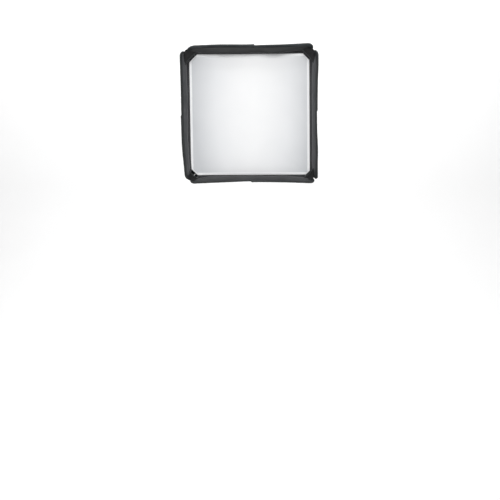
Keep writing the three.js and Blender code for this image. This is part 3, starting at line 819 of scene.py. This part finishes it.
def ring_outline(half, cuts, step):
    """Evenly spaced places round a square with cut corners, about the optical axis."""
    corners = []
    for (sx, sz), cut in zip(QUADRANTS, cuts, strict=True):
        pair = [(sx * half, sz * (cut - half)), (sx * (cut - half), sz * half)]
        corners += pair if sx * sz > 0 else pair[::-1]
    corners = np.array(corners + corners[:1], float)
    along = np.concatenate([[0], np.cumsum(np.linalg.norm(np.diff(corners, axis=0), axis=1))])
    at = np.unique(np.concatenate([np.arange(0, along[-1], step), along[:-1]]))
    return read_along(at, along, corners), at


def about_axis(x, y, z):
    return joined(x, y, z + AXIS_Z)


def billow(x, z, half, seed, depth):
    """Height of a taut square sheet: a slight belly, pulls from the corners, soft ripples."""
    a, b = np.clip(np.abs(x) / half, 0, 1), np.clip(np.abs(z) / half, 0, 1)
    held = (1 - a ** 6) * (1 - b ** 6)
    height = depth * np.cos(a * math.pi / 2) * np.cos(b * math.pi / 2)
    for sx in (-1, 1):
        for sz in (-1, 1):
            dx, dz = half - sx * x, half - sz * z
            away = np.hypot(dx, dz)
            height += (0.7 * MM * held * np.exp(-away / 0.09)
                       * np.sin(13 * np.arctan2(dz, dx) + sx + 2 * sz + seed))
    return height + 0.5 * MM * held * ripple(x, z, seed, 0.13)


def octagon_sheet(name, half, cuts, y, depth, seed, material, count, body="softbox", warp=None):
    """A taut sheet with cut corners, as a grid whose outer columns follow the cuts."""
    grid = np.linspace(-1, 1, count)
    z = np.broadcast_to(grid[:, None] * half, (count, count))
    right, left = (np.minimum(half, np.where(z > 0, above, below) - np.abs(z))
                   for above, below in ((cuts[0], cuts[3]), (cuts[1], cuts[2])))
    share = (grid[None, :] + 1) / 2
    x = share * right - (1 - share) * left
    points = about_axis(x, y - billow(x, z, half, seed, depth), z)
    if warp:
        points = warp(points)
    return sheet_piece(name, points, np.stack([x, z], -1), material, 0.5 * MM, body)


def folded_hem(name, edge, y, section, wave, pucker=0.0, body="softbox", warp=None):
    """A square's folded hem: its section, from the edge inward, carried round the square.

    The edge is given as for ring_outline, and the wave by its seed, its size and its height.
    """
    line, along = ring_outline(*edge)
    x, z = stepped(line, hem_spokes(line, edge[0], section[:, 0].max()), section[None, :, 0])
    puckers = 1 + pucker * np.sin(along * 2 * math.pi / (9 * MM))
    seed, size, height = wave
    sway = ripple(along, along, seed, size)[:, None] * height
    points = about_axis(x, y - section[None, :, 1] * puckers[:, None] - sway, z)
    if warp:
        points = warp(points)
    threads = joined(along[:, None], section[None, :, 0])
    hem = loft_piece(f"{name}_folded_hem", points, WHITE_CLOTH, threads, True, body=body)
    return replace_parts(hem, f"{name}_hem")


def settled(points):
    """Moves places on the diffuser in by what it pulls the tape in at each side."""
    points = np.array(points)
    x, z = points[..., 0].copy(), points[..., 2] - AXIS_Z
    a, b = (np.clip(values / DIFFUSER_HALF, -1, 1) / 2 + 0.5 for values in (x, z))
    points[..., 0] += (1 - a) * tape_pull(LEFT, -z) - a * tape_pull(RIGHT, z)
    points[..., 2] += (1 - b) * tape_pull(BOTTOM, x) - b * tape_pull(TOP, -x)
    return points


def build_diffuser():
    half = DIFFUSER_HALF + 1.8 * MM
    cuts = diffuser_cuts()
    inner, inner_cuts = half - 6 * MM, cuts - 2.5 * MM * math.sqrt(2)
    cloth = octagon_sheet("diffuser_sheet", inner, inner_cuts, DIFFUSER_Y + 0.2 * MM, 3.5 * MM,
                          200, DIFFUSION, 120, "diffuser", settled)
    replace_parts(cloth, "diffuser_cloth")

    groove = 8.4
    section = np.array([
        (0.0, 0.0), (0.25, 0.8), (1.0, 1.35), (2.2, 1.3), (3.0, 1.15), (4.8, 1.25), (6.9, 1.3),
        (8.0, 1.1), (groove, 0.9), (8.9, 1.15), (9.5, 0.9), (9.8, 0.2),
        (9.5, -0.7), (8.0, -1.1), (4.8, -1.2), (1.0, -1.2), (0.25, -0.7),
    ]) * MM
    hem = folded_hem("diffuser", (half, cuts, 3 * MM), DIFFUSER_Y, section, (210, 0.12, 0.3 * MM),
                     0.1, "diffuser", settled)

    stitch_line, _ = ring_outline(half, cuts, 4.2 * MM)
    stitch_in = hem_spokes(stitch_line, half, section[:, 0].max()) * groove * MM
    spots = settled(about_axis(stitch_line[:, 0] + stitch_in[:, 0], DIFFUSER_Y - 1.15 * MM,
                               stitch_line[:, 1] + stitch_in[:, 1]))
    outs = np.tile([0.0, -1.0, 0.0], (len(spots), 1))
    thread = stitches("diffuser_stitching", spots, runs_along(spots), outs, WHITE_THREAD, "diffuser",
                      (2.8 * MM, 0.35 * MM))

    line, along = ring_outline(half + 1.2 * MM, cuts + 1.6 * MM, 4 * MM)
    facing = -inward_of(line, half + 1.2 * MM, cuts + 1.6 * MM)
    lean = np.linspace(-6.2, 6.2, 9) * MM
    flat_side = (np.abs(facing[:, 0]) + np.abs(facing[:, 1])) < 1.01
    slope = np.where(flat_side, math.tan(FLARE), 0.0)
    shift = -lean[None, :] * slope[:, None]
    outside, inside = (shift + np.where(flat_side, offset, offset * 0.5)[:, None]
                       for offset in (1.6 * MM, 0.5 * MM))
    reach = np.concatenate([outside, inside[:, ::-1]], axis=1)
    depth = np.concatenate([lean, lean[::-1]])
    x, z = stepped(line, facing, reach)
    points = settled(about_axis(x, DIFFUSER_Y + depth[None, :], z))
    threads = joined(along[:, None], depth[None, :])
    hook = loft_piece("diffuser_hook_band", points, PILE, threads, True, body="diffuser")
    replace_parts(hook, "diffuser_hook_tape")


def hem_spokes(line, half, width, narrow=5.4 * MM):
    """Steps inward across a square's hem, which runs out to a narrow binding at cut corners."""
    reach = np.abs(line)
    on_x = reach[:, 0] >= reach[:, 1]
    left = np.maximum(width - half + reach.max(axis=1), narrow)
    spokes = np.zeros_like(line)
    spokes[on_x, 0] = -np.sign(line[on_x, 0]) * left[on_x]
    spokes[~on_x, 1] = -np.sign(line[~on_x, 1]) * left[~on_x]
    return spokes / width


def diffuser_cuts():
    """|x| + |z| along each of the diffuser's cut corners, a little inside the webs' free edges."""
    web_face = web_high.z - AXIS_Z
    leg = web_high.x - web_low.x
    cuts = []
    for (sx, sz), name in zip(QUADRANTS, QUADRANT_NAMES, strict=True):
        upright = tape_pull(RIGHT if sx > 0 else LEFT, sx * sz * DIFFUSER_HALF)
        level = tape_pull(TOP if sz > 0 else BOTTOM, -sz * sx * DIFFUSER_HALF)
        cuts.append(2 * web_face - leg + WEB_SHORT[name] + upright + level - WEB_GAP[name])
    return np.array(cuts)


def inward_of(line, half, cuts):
    """Unit directions inward from places on an octagon's edge, blended at its corners."""
    x, z = line[:, 0], line[:, 1]
    on_x = np.abs(np.abs(x) - half) < 1e-6
    on_z = np.abs(np.abs(z) - half) < 1e-6
    cut = np.select([(x * sx > 0) & (z * sz > 0) for sx, sz in QUADRANTS], cuts)
    on_cut = np.abs(np.abs(x) + np.abs(z) - cut) < 1e-6
    root = 1 / math.sqrt(2)
    inward = np.zeros_like(line)
    inward[on_x, 0] -= np.sign(x[on_x])
    inward[on_z, 1] -= np.sign(z[on_z])
    inward[on_cut, 0] -= root * np.sign(x[on_cut])
    inward[on_cut, 1] -= root * np.sign(z[on_cut])
    inward /= np.linalg.norm(inward, axis=1, keepdims=True)
    both = on_cut & (on_x | on_z)
    inward[both] /= math.cos(math.pi / 8)
    return inward


def build_baffle():
    half = BAFFLE_HALF
    cuts = np.full(4, 2 * half - 5 * MM)
    cloth = octagon_sheet("baffle_sheet", half - 6 * MM, cuts - 6 * MM * math.sqrt(2), BAFFLE_Y,
                          2.5 * MM, 230, WHITE_CLOTH, 70)
    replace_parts(cloth, "baffle_cloth")
    section = np.array([
        (0, 0), (0.5, 0.9), (3, 1.1), (8, 1.0), (9.6, 0.7), (10, 0), (9.6, -0.7), (8, -1.0),
        (3, -1.1), (0.5, -0.9),
    ]) * MM
    hem = folded_hem("baffle", (half, cuts, 4 * MM), BAFFLE_Y, section, (240, 0.08, 0.4 * MM))


def baffle_strap(count, name):
    """A short strap from the baffle's corner to the wall seam, with a press stud."""
    low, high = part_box("top_right_baffle_strap")
    start, end = low.x + 3 * MM, high.x - 3 * MM
    t = np.linspace(-0.05, 1, 24)
    root = 1 / math.sqrt(2)
    middle = start + (end - start) * t
    sag = np.sin(math.pi * np.clip(t, 0, 1)) * 1.6 * MM
    flat = squared_circle(14, 0.45)
    wide, thick = 6 * MM, 0.6 * MM
    x = middle[:, None] + flat[None, :, 0] * wide * root
    z = middle[:, None] - flat[None, :, 0] * wide * root
    y = BAFFLE_Y + flat[None, :, 1] * thick + sag[:, None]
    threads = joined(flat[None, :, 0] * wide, middle[:, None])
    strap = loft_piece(f"{name}_strap_webbing", quarter_turn(joined(x, y, z), count),
                       WHITE_CLOTH, threads, False)
    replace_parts(strap, f"{name}_baffle_strap")
    profile = [(0.2, -2.6), (2.4, -2.5), (3.4, -1.9), (3.9, -1.0), (3.9, 0.0)]
    at = (start + end) / 2
    rings = turned_rings(profile, at, BAFFLE_Y - 0.4 * MM, at, 24)
    loft_piece(f"{name}_press_stud", quarter_turn(rings, count), ZINC,
               np.zeros((len(profile), 24, 2)), False)


# --- Rear panel and rings ---

def build_rear():
    """The cloth square behind the walls, with its round opening and bound edge."""
    half = panel_high.x
    y = (panel_low.y + panel_high.y) / 2
    hole = 60 * MM
    turns = circle(160)
    cos, sin = np.cos(turns), np.sin(turns)
    edge = rounded_square(half, turns)
    share = np.linspace(0, 1, 22)
    radius = hole + (edge[None, :] - hole) * share[:, None]
    x, z = radius * cos, radius * sin
    drape = ripple(x, z, 250, 0.05) * 0.35 * MM * np.sin(math.pi * share)[:, None]
    points = about_axis(x, y + drape, z).reshape(-1, 3)
    panel = mesh_piece("rear_cloth", points, grid_faces(22, 160, False, True), BLACK_CLOTH,
                       np.stack([x, z], -1).reshape(-1, 2))
    thicken(panel, 1.6 * MM)
    settle(panel)
    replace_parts(panel, "rear_panel")

    ring = circle(14)
    reach = rounded_square(half - 1.5 * MM, turns)[:, None] + 3.4 * MM * np.cos(ring)[None, :]
    depth = y - 0.8 * MM + 2.6 * MM * np.sin(ring)[None, :]
    depth = depth + 0.25 * MM * np.sin(turns * 90)[:, None]
    points = about_axis(reach * cos[:, None], depth, reach * sin[:, None])
    threads = joined(turns[:, None] * half, ring[None, :] * 3 * MM)
    binding = loft_piece("rear_binding", points, HEM_CLOTH, threads, True)

    inset = half - 7 * MM
    count = round(8 * inset / (4 * MM))
    places = circle(count)
    reach = rounded_square(inset, places)
    spots = about_axis(reach * np.cos(places), y + 0.95 * MM, reach * np.sin(places))
    thread = stitches("rear_stitching", spots, runs_along(spots), np.tile([0.0, 1.0, 0.0], (count, 1)),
                      BLACK_THREAD, "softbox")


def ring_screws():
    """Small domed screws that hold the retaining ring on the hub."""
    radius = sum(RETAINER_RADII) / 2
    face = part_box("retainer_ring")[1].y
    profile = [(2.5, -0.2), (2.3, 0.1), (1.7, 0.35), (0.9, 0.4), (0.15, 0.45)]
    for k in range(6):
        turn = math.pi / 6 + k * math.pi / 3
        x, z = radius * math.cos(turn), AXIS_Z + radius * math.sin(turn)
        rings = turned_rings(profile, x, face, z, 20)
        loft_piece(f"retainer_screw_{k + 1}", rings, ZINC, np.zeros((len(profile), 20, 2)), False)


# --- CAD nodes that keep their shape ---

def dress(node, material, bevel):
    """Gives a hard CAD node its finish and softens its edges."""
    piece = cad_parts[node]
    piece.data.materials.clear()
    piece.data.materials.append(material)
    edge = piece.modifiers.new("edges", "BEVEL")
    edge.width = bevel
    edge.segments = 3
    edge.limit_method = "ANGLE"
    edge.angle_limit = math.radians(28)
    edge.harden_normals = True


def dress_all():
    for material, bevel, nodes in (
        (PLASTIC, 0.6 * MM, ("box_ring", "clamp_ring", "retainer_ring")),
        (PLASTIC, 0.7 * MM, ("socket_body", "tilt_block", "cold_shoe")),
        (PLASTIC, 0.8 * MM, ("ring_lock_knob", "upper_thumbscrew_knob", "lower_thumbscrew_knob",
                             "socket_knob", "tilt_lever")),
        (ALLOY, 0.7 * MM, ("speed_ring",)),
        (PAINT, 0.5 * MM, ("angle_bracket",)),
        (ZINC, 0.35 * MM, ("front_mount_screw", "rear_mount_screw", "shoe_wheel", "tilt_bolt",
                           "left_washer", "right_washer", "ring_lock_stud",
                           "upper_thumbscrew_stud", "lower_thumbscrew_stud")),
    ):
        for node in nodes:
            dress(node, material, bevel)


# --- Camera, floor and light ---

def build_camera():
    data = bpy.data.cameras.new("camera")
    data.lens = 48.2
    data.sensor_width = 36
    camera = bpy.data.objects.new("camera", data)
    camera.location = (0.009, -3.02, 0.065)
    camera.rotation_euler = Euler([math.radians(turn) for turn in (82.3, 0.45, 0.2)])
    bpy.context.scene.collection.objects.link(camera)
    bpy.context.scene.camera = camera


def area_light(name, place, aim, size, power):
    data = bpy.data.lights.new(name, "AREA")
    data.shape = "RECTANGLE"
    data.size, data.size_y = size
    data.energy = power
    lamp = bpy.data.objects.new(name, data)
    lamp.location = place
    lamp.rotation_euler = (Vector(aim) - Vector(place)).to_track_quat("-Z", "Y").to_euler()
    bpy.context.scene.collection.objects.link(lamp)


def build_studio():
    """A pale floor that curves up into a backdrop, and soft light from the front and above."""
    floor_z, back_y, bend, half = -1.12, 2.2, 1.0, 14.0
    turns = np.linspace(0, math.pi / 2, 17)
    profile = [(-6.0, floor_z)]
    profile += [
        (back_y - bend + bend * math.sin(a), floor_z + bend - bend * math.cos(a)) for a in turns]
    profile += [(back_y, 5.0)]
    points = [(x, y, z) for y, z in profile for x in (-half, half)]
    paper = Finish("backdrop", (0.93, 0.93, 0.93), 0.9)
    speckle = paper.noise(paper.place(), 3, 2)
    tones = [(0.0, (0.92, 0.92, 0.92)), (1.0, (0.94, 0.94, 0.94))]
    paper.look("Base Color", paper.ramp(speckle, tones))
    sweep = mesh_piece("backdrop", np.array(points), grid_faces(len(profile), 2), paper.material)
    area_light("key_light", (-0.9, -3.2, 1.6), (0, -0.2, 0.2), (2.4, 1.6), 41)
    area_light("fill_light", (1.4, -3.0, 1.4), (0, -0.2, 0.2), (2.0, 1.6), 17.5)
    area_light("top_light", (0, -0.5, 3.0), (0, 0, 0), (3.5, 2.0), 72)
    area_light("backdrop_light", (0, 0.9, 2.6), (0, 2.2, 0.6), (4.0, 1.0), 50)
    world = bpy.data.worlds.new("studio")
    world.use_nodes = True
    world.node_tree.nodes["Background"].inputs[0].default_value = (1, 1, 1, 1)
    world.node_tree.nodes["Background"].inputs[1].default_value = 0.33
    bpy.context.scene.world = world
    bpy.context.scene.view_settings.view_transform = "Standard"


# --- Assembly ---

build_camera()
build_studio()
dress_all()
for side, name in enumerate(SIDES):
    build_wall(side, name)
for count, name in enumerate(CORNERS):
    corner_seam(count, name)
    corner_web(count, name)
    baffle_strap(count, name)
build_diffuser()
build_baffle()
build_rear()
ring_screws()
